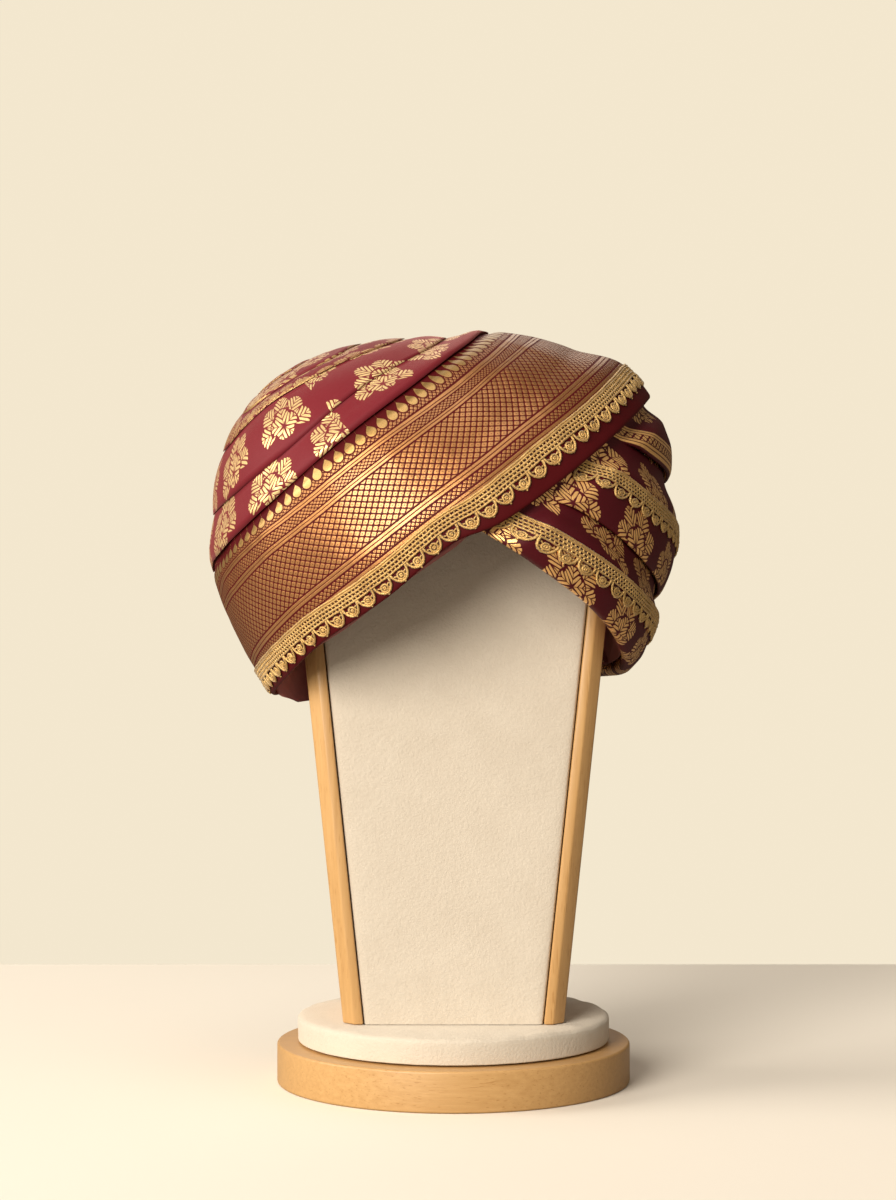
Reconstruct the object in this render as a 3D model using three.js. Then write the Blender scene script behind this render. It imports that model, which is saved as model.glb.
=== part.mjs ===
// A tied turban (pagri) of silk brocade with gold lace, on its padded display stand.
// Millimetres and degrees, +Z up, the front faces -Y. The origin is the centre of the base's underside.
import * as THREE from "three";
import { mergeVertices } from "three/addons/utils/BufferGeometryUtils.js";

const { clamp, degToRad, lerp, radToDeg, smoothstep } = THREE.MathUtils;

// The wound dome: its half-sizes from its centre, and how square each quarter of its front outline is.
const DOME = {
  centre: new THREE.Vector3(-5, 8, 275),
  left: 115.5,
  right: 108.5,
  front: 118,
  back: 122,
  top: 97,
  skirt: 140,
  powerTopLeft: 2.5,
  powerTopRight: 2.7,
  powerSkirt: 1.6,
  powerDepth: 2.2,
};

// The hollow for the head: half-sizes from its own centre. Its wall is upright below that centre.
const HOLLOW = {
  centre: new THREE.Vector3(0, 8, 275),
  side: 79.5,
  front: 98,
  back: 101,
  top: 84,
  power: 3.4,
};

// The way each set of folds leans: roll about the front-back axis, then a lean towards the front.
const BAND_TILT = { roll: -39.15, lean: -2.05 };
const CROWN_TILT = { roll: -43.2, lean: -7.25 };

// Pieces that touch keep this gap.
const GAP = 0.4;

// The turban's lower edge, as an elevation seen from the dome's centre. Azimuth 0 is the front, 90 is +X.
const RIM = [
  { azimuth: -120, elevation: -39.5 },
  { azimuth: -90, elevation: -39.5 },
  { azimuth: -60, elevation: -34.8 },
  { azimuth: -30, elevation: -24.0 },
  { azimuth: -12, elevation: -12.5 },
  { azimuth: 0, elevation: -4.5 },
  { azimuth: 9, elevation: 1.5 },
  { azimuth: 30, elevation: -11.0 },
  { azimuth: 60, elevation: -27.5 },
  { azimuth: 90, elevation: -36.0 },
  { azimuth: 130, elevation: -37.0 },
  { azimuth: 170, elevation: -36.5 },
  { azimuth: 205, elevation: -37.5 },
  { azimuth: 240, elevation: -39.5 },
  { azimuth: 270, elevation: -39.5 },
];

// The crown's pleats: latitude of each folded edge about the crown's own pole.
const CROWN = {
  pleatEdges: [-24, -12, 0, 13, 26, 38, 47.5, 62, 73, 82],
  pleatHeight: 2.6,
  sunk: 0.9,
  edgeWidth: 0.9,
  widestFlat: 12.5,
};
const CROWN_COLUMNS = 46;
const CROWN_INNER_ROWS = 6;

// The broad front band: edges as latitudes about the band's pole, how far its hem stands off the dome, and how
// far above the hem the lace's tips lie.
const BAND = [
  { longitude: -140, low: -18, high: -14.5, lift: 0.7, tip: 1 },
  { longitude: -125, low: -13, high: 3, lift: 0.7, tip: 1 },
  { longitude: -112, low: -8, high: 19, lift: 0.7, tip: 1 },
  { longitude: -80, low: -4.3, high: 30.4, lift: 0.7, tip: 1 },
  { longitude: -60, low: -2.4, high: 31.4, lift: 0.7, tip: 1 },
  { longitude: -40, low: -0.8, high: 31.9, lift: 0.8, tip: 0.6 },
  { longitude: -18, low: -1.7, high: 32.6, lift: 2.4, tip: 0.4 },
  { longitude: 0, low: -1.5, high: 33.6, lift: 4.2, tip: 0.3 },
  { longitude: 10, low: -4.4, high: 34.1, lift: 4.6, tip: 1.9 },
  { longitude: 25, low: -5.7, high: 35.3, lift: 4.8, tip: 3 },
  { longitude: 45, low: -6, high: 37.1, lift: 5.2, tip: 3.1 },
  { longitude: 80, low: -5.9, high: 39.5, lift: 7.6, tip: 3.4 },
  { longitude: 120, low: -8, high: 33, lift: 6.0, tip: 3 },
  { longitude: 150, low: -15, high: 21, lift: 4.6, tip: 3 },
  { longitude: 165, low: -23, high: 11, lift: 4.2, tip: 3 },
  { longitude: 180, low: -28.5, high: -2, lift: 4.2, tip: 3 },
  { longitude: 192, low: -30.4, high: -15, lift: 4.2, tip: 3 },
  { longitude: 202, low: -30.6, high: -25.5, lift: 2.4, tip: 2 },
];
const BAND_THICKNESS = 2.4;
const BAND_TOP_LIFT = 0.7;
const BAND_SEGMENTS = [48, 6];

// The side wraps: elevation of each fold line at some azimuths.
const FOLDS = [
  { azimuth: -12, rim: 12, crease: 19, zari: 40, top: 54 },
  { azimuth: 9, rim: -0.4, crease: 11.6, zari: 33.5, top: 50 },
  { azimuth: 30, rim: -13.3, crease: 4.8, zari: 26.6, top: 46 },
  { azimuth: 60, rim: -30, crease: -9.2, zari: 17.3, top: 36 },
  { azimuth: 90, rim: -38.5, crease: -17.5, zari: 13, top: 40.5 },
  { azimuth: 130, rim: -39, crease: -20.5, zari: 8, top: 30.5 },
  { azimuth: 172, rim: -38, crease: -22, zari: 0, top: 22 },
];

// Each wrap lies between two fold lines. Both its ends are under the band, at an azimuth for each edge.
const WRAPS = [
  { name: "wrap_lower", low: "rim", high: "crease", start: [-3, 9], end: [178, 172], swell: 7.0 },
  { name: "wrap_upper", low: "crease", high: "zari", start: [9, 31], end: [165, 160], swell: 6.0 },
  { name: "wrap_top", low: "zari", high: "top", start: [31, 66], end: [160, 145], swell: 7.0 },
];
const WRAP_THICKNESS = 2.2;
const WRAP_SEGMENTS = [28, 6];

// Lace strips: where the scallops' tips and the header lie on the cloth under them.
const LACE = { thickness: 1.3, gap: 1.0, scallopPitch: 9.6, scallopDepth: 4.2, stepsPerScallop: 3 };
const BAND_LACE = { width: 6.3, from: -131, to: 193 };
const LACE_CLIMB = [-0.08, 0.56];
const WRAP_LACES = [
  { name: "lace_lower", wrap: "wrap_lower", tip: [0.14, 0.45], width: 0.32, from: 0.05, to: 0.97 },
  { name: "lace_upper", wrap: "wrap_upper", tip: [0.29, 0.36], width: 0.27, from: 0.09, to: 0.97 },
];

// The stand: a tapering padded post between wooden rails, on a padded disc and a wooden disc.
const BASE_DISC = { radius: 88.25, height: 20, edge: 1.2 };
const BASE_PAD = { radius: 79, height: 14, topEdge: 5, bottomEdge: 2.5 };
const POST = { halfWidth: 43.6, flare: 0.1042, halfDepth: 43, shoulder: 212, edge: 2.5, gapToCrown: 5 };
const RAIL = { width: 10.4, chamfer: 5.6, proud: 0.6 };
const ROUND_SEGMENTS = 40;

const COLOUR = { silk: 0x6b1420, zari: 0xa8683a, lace: 0xc9a45c, suede: 0xe9dcc3, wood: 0xd6a566 };

// One column of a table at a key, on a smooth curve through its rows.
function column(table, key, name, at) {
  const last = table.length - 1;
  let i = 0;
  while (i < last - 1 && at > table[i + 1][key]) i += 1;
  const slope = (k) => {
    const a = table[Math.max(k - 1, 0)];
    const b = table[Math.min(k + 1, last)];
    return (b[name] - a[name]) / (b[key] - a[key]);
  };
  const [p, q] = [table[i], table[i + 1]];
  const span = q[key] - p[key];
  const t = clamp((at - p[key]) / span, 0, 1);
  const rise = q[name] - p[name];
  const bend = (slope(i) * span - rise) * (1 - t) - (slope(i + 1) * span - rise) * t;
  return p[name] + rise * t + bend * t * (1 - t);
}

// Unit vector at an azimuth and an elevation, and the azimuth and elevation of one.
function direction(azimuth, elevation) {
  const [a, e] = [degToRad(azimuth), degToRad(elevation)];
  return new THREE.Vector3(Math.cos(e) * Math.sin(a), -Math.cos(e) * Math.cos(a), Math.sin(e));
}

function bearing(d) {
  const azimuth = radToDeg(Math.atan2(d.x, -d.y));
  return { azimuth: azimuth < -120 ? azimuth + 360 : azimuth, elevation: radToDeg(Math.asin(d.z)) };
}

// A tilted globe: its pole, its axis towards the front and its axis to the side.
function tiltedGlobe({ roll, lean }) {
  const [r, l] = [degToRad(roll), degToRad(lean)];
  const pole = new THREE.Vector3(Math.sin(r) * Math.cos(l), Math.sin(l), Math.cos(r) * Math.cos(l));
  const front = new THREE.Vector3(0, -1, 0).addScaledVector(pole, pole.y).normalize();
  const side = new THREE.Vector3().crossVectors(pole, front);
  return { pole, front, side };
}

function onGlobe(globe, longitude, latitude) {
  const [a, b] = [degToRad(longitude), degToRad(latitude)];
  return new THREE.Vector3()
    .addScaledVector(globe.front, Math.cos(b) * Math.cos(a))
    .addScaledVector(globe.side, Math.cos(b) * Math.sin(a))
    .addScaledVector(globe.pole, Math.sin(b));
}

function globeBearing(globe, d) {
  const longitude = radToDeg(Math.atan2(d.dot(globe.side), d.dot(globe.front)));
  const latitude = radToDeg(Math.asin(clamp(d.dot(globe.pole), -1, 1)));
  return { longitude: longitude < -150 ? longitude + 360 : longitude, latitude };
}

const bandGlobe = tiltedGlobe(BAND_TILT);
const crownGlobe = tiltedGlobe(CROWN_TILT);

// Distance from the dome's centre to its bare surface.
function domeRadius(d) {
  const side = d.x < 0 ? DOME.left : DOME.right;
  const topPower = d.x < 0 ? DOME.powerTopLeft : DOME.powerTopRight;
  const [power, height] = d.z < 0 ? [DOME.powerSkirt, DOME.skirt] : [topPower, DOME.top];
  const outline = (Math.abs(d.x / side) ** power + Math.abs(d.z / height) ** power) ** (1 / power);
  const depth = Math.abs(d.y) / (d.y < 0 ? DOME.front : DOME.back);
  return (outline ** DOME.powerDepth + depth ** DOME.powerDepth) ** (-1 / DOME.powerDepth);
}

function domePoint(d, offset) {
  return DOME.centre.clone().addScaledVector(d, domeRadius(d) + offset);
}

function hollowPoint(d) {
  const depth = d.y < 0 ? HOLLOW.front : HOLLOW.back;
  const parts = [d.x / HOLLOW.side, d.y / depth, Math.max(d.z, 0) / HOLLOW.top];
  const sum = parts.reduce((total, part) => total + Math.abs(part) ** HOLLOW.power, 0);
  return HOLLOW.centre.clone().addScaledVector(d, sum ** (-1 / HOLLOW.power));
}

// A closed geometry with shared vertices and no collapsed faces.
function closed(geometry) {
  geometry.deleteAttribute("normal");
  geometry.deleteAttribute("uv");
  const merged = mergeVertices(geometry, 1e-3);
  const from = merged.index.array;
  const kept = [];
  for (let i = 0; i < from.length; i += 3) {
    const [a, b, c] = from.subarray(i, i + 3);
    if (a !== b && b !== c && c !== a) kept.push(a, b, c);
  }
  merged.setIndex(kept);
  merged.computeVertexNormals();
  return merged;
}

// Bends a geometry: each of its points goes where the function puts it.
function bend(geometry, place) {
  const points = geometry.getAttribute("position");
  const at = new THREE.Vector3();
  for (let i = 0; i < points.count; i += 1) {
    const to = place(at.fromBufferAttribute(points, i));
    points.setXYZ(i, to.x, to.y, to.z);
  }
  return closed(geometry);
}

// A wall of cloth: a unit slab, along by across by thick, bent to its place.
function clothWall([along, across], place) {
  const slab = new THREE.BoxGeometry(1, 1, 1, along, across, 1).translate(0.5, 0.5, 0.5);
  return bend(slab, (at) => place(at.x, at.y, at.z));
}

function piece(name, geometry, color, roughness, metalness = 0) {
  const mesh = new THREE.Mesh(geometry, new THREE.MeshStandardMaterial({ color, roughness, metalness }));
  mesh.name = name;
  return mesh;
}

// The band's edges, lift and outer face.
function bandAt(longitude) {
  return {
    low: column(BAND, "longitude", "low", longitude),
    high: column(BAND, "longitude", "high", longitude),
    lift: column(BAND, "longitude", "lift", longitude),
    tip: column(BAND, "longitude", "tip", longitude),
  };
}

function bandLift(longitude, share) {
  return lerp(bandAt(longitude).lift, BAND_TOP_LIFT, smoothstep(share, 0.2, 0.48));
}

function bandFace(longitude, share, offset) {
  const { low, high } = bandAt(longitude);
  const d = onGlobe(bandGlobe, longitude, lerp(low, high, share));
  return domePoint(d, bandLift(longitude, share) + offset);
}

// How far the crown stands out: each pleat swells towards its lower edge, and lies flat under the band.
function pleatOffset(d) {
  const { latitude } = globeBearing(crownGlobe, d);
  const onBand = globeBearing(bandGlobe, d);
  const { high } = bandAt(onBand.longitude);
  const bare = smoothstep(onBand.latitude, high - 1, high + 5);
  const edges = CROWN.pleatEdges;
  const i = edges.findLastIndex((edge) => edge <= latitude);
  if (i < 0) return 0;
  const next = edges[i + 1] ?? 90;
  const share = (latitude - edges[i]) / (next - edges[i]);
  return bare * (CROWN.pleatHeight * (1 - share) - CROWN.sunk) - GAP;
}

function rimElevation(azimuth) {
  return column(RIM, "azimuth", "elevation", azimuth);
}

// Latitude about the crown's pole where a line from the pole reaches the rim.
function rimLatitude(longitude) {
  let [inside, outside] = [60, -88];
  for (let i = 0; i < 24; i += 1) {
    const middle = (inside + outside) / 2;
    const { azimuth, elevation } = bearing(onGlobe(crownGlobe, longitude, middle));
    if (elevation > rimElevation(azimuth)) inside = middle;
    else outside = middle;
  }
  return inside;
}

// The crown: a hollow dome turned about its pole, with a row above and below each pleat's edge.
function crown() {
  const rows = [90];
  const edges = [...CROWN.pleatEdges].reverse();
  edges.forEach((edge, i) => {
    const above = i === 0 ? 90 : edges[i - 1];
    if (above - edge > CROWN.widestFlat) rows.push((edge + above) / 2);
    rows.push(edge + CROWN.edgeWidth / 2, edge - CROWN.edgeWidth / 2);
  });
  rows.push(-40, -88);
  const latitudes = [...rows, ...new Array(CROWN_INNER_ROWS + 1).fill(0)];
  const profile = latitudes.map((_, i) => new THREE.Vector2(i > 0 && i < latitudes.length - 1 ? 1 : 0, -i));
  const turned = new THREE.LatheGeometry(profile, CROWN_COLUMNS);
  const rims = Array.from({ length: CROWN_COLUMNS }, (_, i) => rimLatitude((i * -360) / CROWN_COLUMNS));
  let vertex = 0;
  const place = () => {
    const lathed = Math.floor(vertex / latitudes.length) % CROWN_COLUMNS;
    const row = vertex % latitudes.length;
    vertex += 1;
    const longitude = (lathed * -360) / CROWN_COLUMNS;
    const inner = row >= rows.length;
    const share = (row - rows.length) / CROWN_INNER_ROWS;
    const latitude = inner ? lerp(rims[lathed], 90, share) : Math.max(latitudes[row], rims[lathed]);
    const d = onGlobe(crownGlobe, longitude, latitude);
    return inner ? hollowPoint(d) : domePoint(d, pleatOffset(d));
  };
  return piece("crown", bend(turned, place), COLOUR.silk, 0.5);
}

// The front band: a broad folded strip round the dome, with both ends tucked in at the back of the rim.
function frontBand() {
  const [first, last] = [BAND[0].longitude, BAND.at(-1).longitude];
  const wall = clothWall(BAND_SEGMENTS, (u, v, w) => bandFace(lerp(first, last, u), v, BAND_THICKNESS * w));
  return piece("front_band", wall, COLOUR.zari, 0.4, 0.6);
}

function scallop(u, count) {
  return Math.abs(Math.cos(Math.PI * u * count));
}

// A lace strip: a thin wall whose lower edge runs in scallops.
function laceWall(length, width, face) {
  const count = Math.round(length / LACE.scallopPitch);
  const notch = LACE.scallopDepth / width;
  return clothWall([count * LACE.stepsPerScallop, 1], (u, v, w) =>
    face(u, v > 0 ? 1 : notch * scallop(u, count), LACE.gap + LACE.thickness * w),
  );
}

function frontLace() {
  const { width, from, to } = BAND_LACE;
  const length = degToRad(to - from) * (DOME.front + BAND_THICKNESS);
  const face = (u, v, offset) => {
    const longitude = lerp(from, to, u);
    const { low, high, tip } = bandAt(longitude);
    const share = Math.min((tip + width * v) / (high - low), 0.92);
    return bandFace(longitude, share, BAND_THICKNESS + offset);
  };
  return piece("front_lace", laceWall(length, degToRad(width) * DOME.front, face), COLOUR.lace, 0.45, 0.7);
}

// A point on a wrap's outer face. It swells into a roll, and flattens where it slips under the band.
function wrapFace(wrap, u, v, offset) {
  const azimuth = lerp(lerp(...wrap.start, v), lerp(...wrap.end, v), u);
  const [low, high] = [wrap.low, wrap.high].map((line) => column(FOLDS, "azimuth", line, azimuth));
  const d = direction(azimuth, lerp(low, high, v));
  const { longitude, latitude } = globeBearing(bandGlobe, d);
  const band = bandAt(longitude);
  const share = clamp((latitude - band.low) / (band.high - band.low), 0, 1);
  const under = bandLift(longitude, share) - LACE.thickness - LACE.gap - 2 * GAP;
  const free = smoothstep(band.low - latitude, 2, 11);
  const roll = Math.sqrt(Math.max(0, 1 - Math.abs(2 * v - 1) ** 3));
  const outer = lerp(under, WRAP_THICKNESS + wrap.swell * roll, free);
  return domePoint(d, offset === null ? GAP : outer + offset);
}

function wraps() {
  return WRAPS.map((wrap) => {
    const margin = 0.004;
    const wall = clothWall(WRAP_SEGMENTS, (u, v, w) =>
      wrapFace(wrap, u, lerp(margin, 1 - margin, v), w > 0 ? 0 : null),
    );
    return piece(wrap.name, wall, COLOUR.silk, 0.5);
  });
}

function wrapLaces() {
  return WRAP_LACES.map(({ name, wrap, tip, width, from, to }) => {
    const under = WRAPS.find((one) => one.name === wrap);
    const length = degToRad(under.end[0] - under.start[0]) * DOME.right;
    const face = (u, v, offset) => {
      const along = lerp(from, to, u);
      return wrapFace(under, along, lerp(...tip, smoothstep(along, ...LACE_CLIMB)) + width * v, offset);
    };
    return piece(name, laceWall(length, 14, face), COLOUR.lace, 0.45, 0.7);
  });
}

// The turned discs of the base. Both profiles run from the axis at the bottom to the axis at the top.
function disc(name, { radius, height, topEdge, bottomEdge }, z, color, roughness) {
  const outline = new THREE.Path();
  outline.moveTo(0, z);
  outline.lineTo(radius - bottomEdge, z);
  outline.absarc(radius - bottomEdge, z + bottomEdge, bottomEdge, -Math.PI / 2, 0);
  outline.absarc(radius - topEdge, z + height - topEdge, topEdge, 0, Math.PI / 2);
  outline.lineTo(0, z + height);
  const turned = new THREE.LatheGeometry(outline.getPoints(2), ROUND_SEGMENTS).rotateX(Math.PI / 2);
  return piece(name, closed(turned), color, roughness);
}

// The padded post: a tapering board with a round top, under the turban's crown.
function postPanel(foot) {
  const { halfWidth, flare, halfDepth, shoulder, edge } = POST;
  const wide = halfWidth + flare * shoulder;
  const top = HOLLOW.centre.z + HOLLOW.top - POST.gapToCrown - foot;
  const outline = new THREE.Shape();
  outline.moveTo(-halfWidth + edge, edge);
  outline.lineTo(halfWidth - edge, edge);
  outline.lineTo(wide - edge, shoulder);
  outline.absellipse(0, shoulder, wide - edge, top - shoulder - edge, 0, Math.PI);
  outline.closePath();
  const board = new THREE.ExtrudeGeometry(outline, {
    depth: 2 * (halfDepth - edge),
    curveSegments: 20,
    bevelSize: edge,
    bevelThickness: edge,
    bevelSegments: 2,
  });
  board.translate(0, 0, edge - halfDepth).rotateX(Math.PI / 2).translate(0, 0, foot);
  return piece("post_panel", closed(board), COLOUR.suede, 0.9);
}

// A wooden rail along one side of the post, with its outer corners chamfered.
function rail(name, side, foot) {
  const { width, chamfer, proud } = RAIL;
  const depth = POST.halfDepth + proud;
  const section = new THREE.Shape();
  section.moveTo(GAP, -depth);
  section.lineTo(width - chamfer, -depth);
  section.lineTo(width, chamfer - depth);
  section.lineTo(width, depth - chamfer);
  section.lineTo(width - chamfer, depth);
  section.lineTo(GAP, depth);
  section.closePath();
  const bar = new THREE.ExtrudeGeometry(section, { depth: POST.shoulder, bevelEnabled: false });
  const leaning = bend(bar, (at) => at.setX(at.x + POST.halfWidth + POST.flare * at.z));
  const mesh = piece(name, leaning, COLOUR.wood, 0.5);
  mesh.position.z = foot;
  mesh.rotation.z = side < 0 ? Math.PI : 0;
  return mesh;
}

function stand() {
  const group = new THREE.Group();
  const { radius, height, edge } = BASE_DISC;
  const padFoot = height + GAP;
  const postFoot = padFoot + BASE_PAD.height + GAP;
  group.add(disc("base_disc", { radius, height, topEdge: edge, bottomEdge: edge }, 0, COLOUR.wood, 0.5));
  group.add(disc("base_pad", BASE_PAD, padFoot, COLOUR.suede, 0.9));
  group.add(postPanel(postFoot), rail("rail_left", -1, postFoot), rail("rail_right", 1, postFoot));
  return group;
}

function turban() {
  const group = new THREE.Group();
  group.add(crown(), frontBand(), frontLace(), ...wraps(), ...wrapLaces());
  return group;
}

const object = new THREE.Group();
object.add(stand(), turban());
export default object;
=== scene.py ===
import math

import bmesh
import bpy
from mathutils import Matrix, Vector, noise


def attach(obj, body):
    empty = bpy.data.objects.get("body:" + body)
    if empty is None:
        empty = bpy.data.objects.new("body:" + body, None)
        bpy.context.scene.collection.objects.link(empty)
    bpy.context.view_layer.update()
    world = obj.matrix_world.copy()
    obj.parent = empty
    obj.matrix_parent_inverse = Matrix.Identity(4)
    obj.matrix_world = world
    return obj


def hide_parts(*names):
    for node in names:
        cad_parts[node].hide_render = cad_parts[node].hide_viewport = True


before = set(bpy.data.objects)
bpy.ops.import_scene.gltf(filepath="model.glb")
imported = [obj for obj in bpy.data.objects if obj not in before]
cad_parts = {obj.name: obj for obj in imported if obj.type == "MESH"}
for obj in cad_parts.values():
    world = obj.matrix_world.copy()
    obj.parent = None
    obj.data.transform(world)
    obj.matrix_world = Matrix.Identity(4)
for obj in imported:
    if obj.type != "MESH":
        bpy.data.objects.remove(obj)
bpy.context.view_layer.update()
mm = 0.001
print("frame loaded")


# plain sums

def mix(a, b, t):
    return a + (b - a) * t


def clamp(x, low=0.0, high=1.0):
    return max(low, min(high, x))


def smooth(x, low, high):
    t = clamp((x - low) / (high - low))
    return t * t * (3 - 2 * t)


def rowAt(table, at):  # a smooth curve through the table's rows, keyed by their first value
    last = len(table) - 1
    i = 0
    while i < last - 1 and at > table[i + 1][0]:
        i += 1
    before, p, q, after = table[max(i - 1, 0)], table[i], table[i + 1], table[min(i + 2, last)]
    span = q[0] - p[0]
    t = clamp((at - p[0]) / span)
    values = []
    for n in range(1, len(p)):
        rise = q[n] - p[n]
        bendIn = (q[n] - before[n]) / (q[0] - before[0]) * span - rise
        bendOut = (after[n] - p[n]) / (after[0] - p[0]) * span - rise
        values.append(p[n] + rise * t + (bendIn * (1 - t) - bendOut * t) * t * (1 - t))
    return values


def ripple(x, y, seed):  # slow unevenness of cloth, about -1 to 1
    return noise.noise(Vector((x, y, seed)))


# the wound dome, in mm and degrees: the same shape as the CAD part
dome = {
    "centre": Vector((-5, 8, 275)),
    "left": 115.5, "right": 108.5, "front": 118, "back": 122, "top": 97, "skirt": 140,
    "powerTopLeft": 2.5, "powerTopRight": 2.7, "powerSkirt": 1.6, "powerDepth": 2.2,
    "gap": 0.4,
    "degree": 2.07,  # mm along the dome for one degree
}
hollow = {"centre": Vector((0, 8, 275)), "side": 79.5, "front": 98, "back": 101, "top": 84, "power": 3.4}
rimRows = (  # azimuth, elevation of the lower edge
    (-120, -39.5), (-90, -39.5), (-60, -34.8), (-30, -24.0), (-12, -12.5), (0, -4.5), (9, 1.5), (30, -11.0),
    (60, -27.5), (90, -36.0), (130, -37.0), (170, -36.5), (205, -37.5), (240, -39.5), (270, -39.5),
)


def direction(azimuth, elevation):
    a, e = math.radians(azimuth), math.radians(elevation)
    return Vector((math.cos(e) * math.sin(a), -math.cos(e) * math.cos(a), math.sin(e)))


def bearing(d):
    azimuth = math.degrees(math.atan2(d.x, -d.y))
    elevation = math.degrees(math.asin(clamp(d.z, -1, 1)))
    return (azimuth + 360 if azimuth < rimRows[0][0] else azimuth), elevation


def tiltedGlobe(roll, lean):
    r, l = math.radians(roll), math.radians(lean)
    pole = Vector((math.sin(r) * math.cos(l), math.sin(l), math.cos(r) * math.cos(l)))
    front = (Vector((0, -1, 0)) + pole * pole.y).normalized()
    return pole, front, pole.cross(front)


bandGlobe = tiltedGlobe(-39.15, -2.05)
crownGlobe = tiltedGlobe(-43.2, -7.25)
globeStart = -150  # longitudes count up from here


def onGlobe(globe, longitude, latitude):
    a, b = math.radians(longitude), math.radians(latitude)
    pole, front, side = globe
    return front * (math.cos(b) * math.cos(a)) + side * (math.cos(b) * math.sin(a)) + pole * math.sin(b)


def globeBearing(globe, d):
    pole, front, side = globe
    longitude = math.degrees(math.atan2(d.dot(side), d.dot(front)))
    latitude = math.degrees(math.asin(clamp(d.dot(pole), -1, 1)))
    return (longitude + 360 if longitude < globeStart else longitude), latitude


def domePoint(d, offset):
    leftSide = d.x < 0
    side = dome["left"] if leftSide else dome["right"]
    power = dome["powerTopLeft"] if leftSide else dome["powerTopRight"]
    height = dome["top"]
    if d.z < 0:
        power, height = dome["powerSkirt"], dome["skirt"]
    outline = (abs(d.x / side) ** power + abs(d.z / height) ** power) ** (1 / power)
    depth = abs(d.y) / (dome["front"] if d.y < 0 else dome["back"])
    reach = (outline ** dome["powerDepth"] + depth ** dome["powerDepth"]) ** (-1 / dome["powerDepth"])
    return dome["centre"] + d * (reach + offset)


def hollowPoint(d):
    depth = hollow["front"] if d.y < 0 else hollow["back"]
    parts = d.x / hollow["side"], d.y / depth, max(d.z, 0) / hollow["top"]
    total = sum(abs(part) ** hollow["power"] for part in parts)
    return hollow["centre"] + d * total ** (-1 / hollow["power"])


# making pieces

def addObject(name, data):
    added = bpy.data.objects.new(name, data)
    bpy.context.scene.collection.objects.link(added)
    return added


def finishPiece(name, bm, material, node):
    bm.normal_update()
    for face in bm.faces:
        face.smooth = True
    mesh = bpy.data.meshes.new(name)
    bm.to_mesh(mesh)
    bm.free()
    piece = addObject(name, mesh)
    mesh.materials.append(material)
    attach(piece, "root")
    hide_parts(node)
    print(name, len(mesh.polygons), "faces")
    return piece


# a flat grid bent by place(u, row); flat(u, row) is its UV in mm; rows up to slotTo take the second material
def clothGrid(along, rows, place, flat, slotTo=0):
    bm = bmesh.new()
    bmesh.ops.create_grid(bm, x_segments=along, y_segments=rows, size=0.5)
    spots = {vert: (vert.co.x + 0.5, round((vert.co.y + 0.5) * rows)) for vert in bm.verts}
    uvLayer = bm.loops.layers.uv.new("flat")
    for face in bm.faces:
        face.material_index = 1 if max(spots[vert][1] for vert in face.verts) < slotTo else 0
        for loop in face.loops:
            loop[uvLayer].uv = flat(*spots[loop.vert])
    for vert, spot in spots.items():
        vert.co = place(*spot) * mm
    return bm


def closeCloth(bm):  # merges the seam, drops collapsed faces, fills the ends and turns faces out
    bmesh.ops.remove_doubles(bm, verts=bm.verts, dist=2e-6)
    bmesh.ops.dissolve_degenerate(bm, dist=1e-6, edges=bm.edges)
    ends = [edge for edge in bm.edges if edge.is_boundary]
    bmesh.ops.holes_fill(bm, edges=ends, sides=0)
    bmesh.ops.recalc_face_normals(bm, faces=bm.faces)


# the way round a flattened tube of cloth: share across, share of thickness
def foldedSection(low, high, edge, rows, rounded=True, backRows=6):
    turn = [math.radians(a) for a in (-60, -30, 0, 30, 60)]
    section = [(low + edge * (1 - math.cos(a)), 0.5 + 0.5 * math.sin(a)) for a in turn]
    section += [(mix(low + edge, high - edge, i / rows), 1.0) for i in range(rows + 1)]
    if rounded:
        section += [(high - edge * (1 - math.cos(a)), 0.5 + 0.5 * math.sin(a)) for a in reversed(turn)]
    section += [(mix(high - edge, low + edge, i / backRows), 0.0) for i in range(backRows + 1)]
    return section


def foldedStrip(along, section, place, flat):  # a closed strip of folded cloth
    count = len(section)
    bm = clothGrid(
        along, count,
        lambda u, row: place(u, *section[row % count]),
        lambda u, row: flat(u, section[row % count][0]),
    )
    closeCloth(bm)
    return bm


# materials: small helpers for node trees

def setInput(tree, socket, value):  # a number, a colour, or another socket to link
    if isinstance(value, tuple):
        socket.default_value = (*value, 1)
    elif isinstance(value, (int, float)):
        socket.default_value = value
    else:
        tree.links.new(value, socket)


def sums(tree):  # op("ADD", a, b): a maths node whose inputs are numbers or sockets
    def op(kind, *inputs, limit=False):
        node = tree.nodes.new("ShaderNodeMath")
        node.operation = kind
        node.use_clamp = limit
        for socket, value in zip(node.inputs, inputs):
            setInput(tree, socket, value)
        return node.outputs[0]
    return op


def below(op, x, edge, soft):  # 1 where x is under the edge, with a soft step
    return op("MULTIPLY_ADD", op("SUBTRACT", edge, x), 1 / soft, 0.5, limit=True)


def past(op, x, edge, soft):  # 1 where x is over it
    return op("SUBTRACT", 1.0, below(op, x, edge, soft))


def near(op, x, middle, half, soft):  # 1 where x is within half of the middle
    return below(op, op("ABSOLUTE", op("SUBTRACT", x, middle)), half, soft)


def blendColour(tree, share, first, second):
    node = tree.nodes.new("ShaderNodeMix")
    node.data_type = "RGBA"
    for place, value in ((0, share), (6, first), (7, second)):
        setInput(tree, node.inputs[place], value)
    return node.outputs[2]


def noiseAt(tree, where, scale, detail=2.0, roughness=0.5):
    node = tree.nodes.new("ShaderNodeTexNoise")
    node.inputs["Scale"].default_value = scale
    node.inputs["Detail"].default_value = detail
    node.inputs["Roughness"].default_value = roughness
    tree.links.new(where, node.inputs["Vector"])
    return node.outputs["Fac"]


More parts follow.
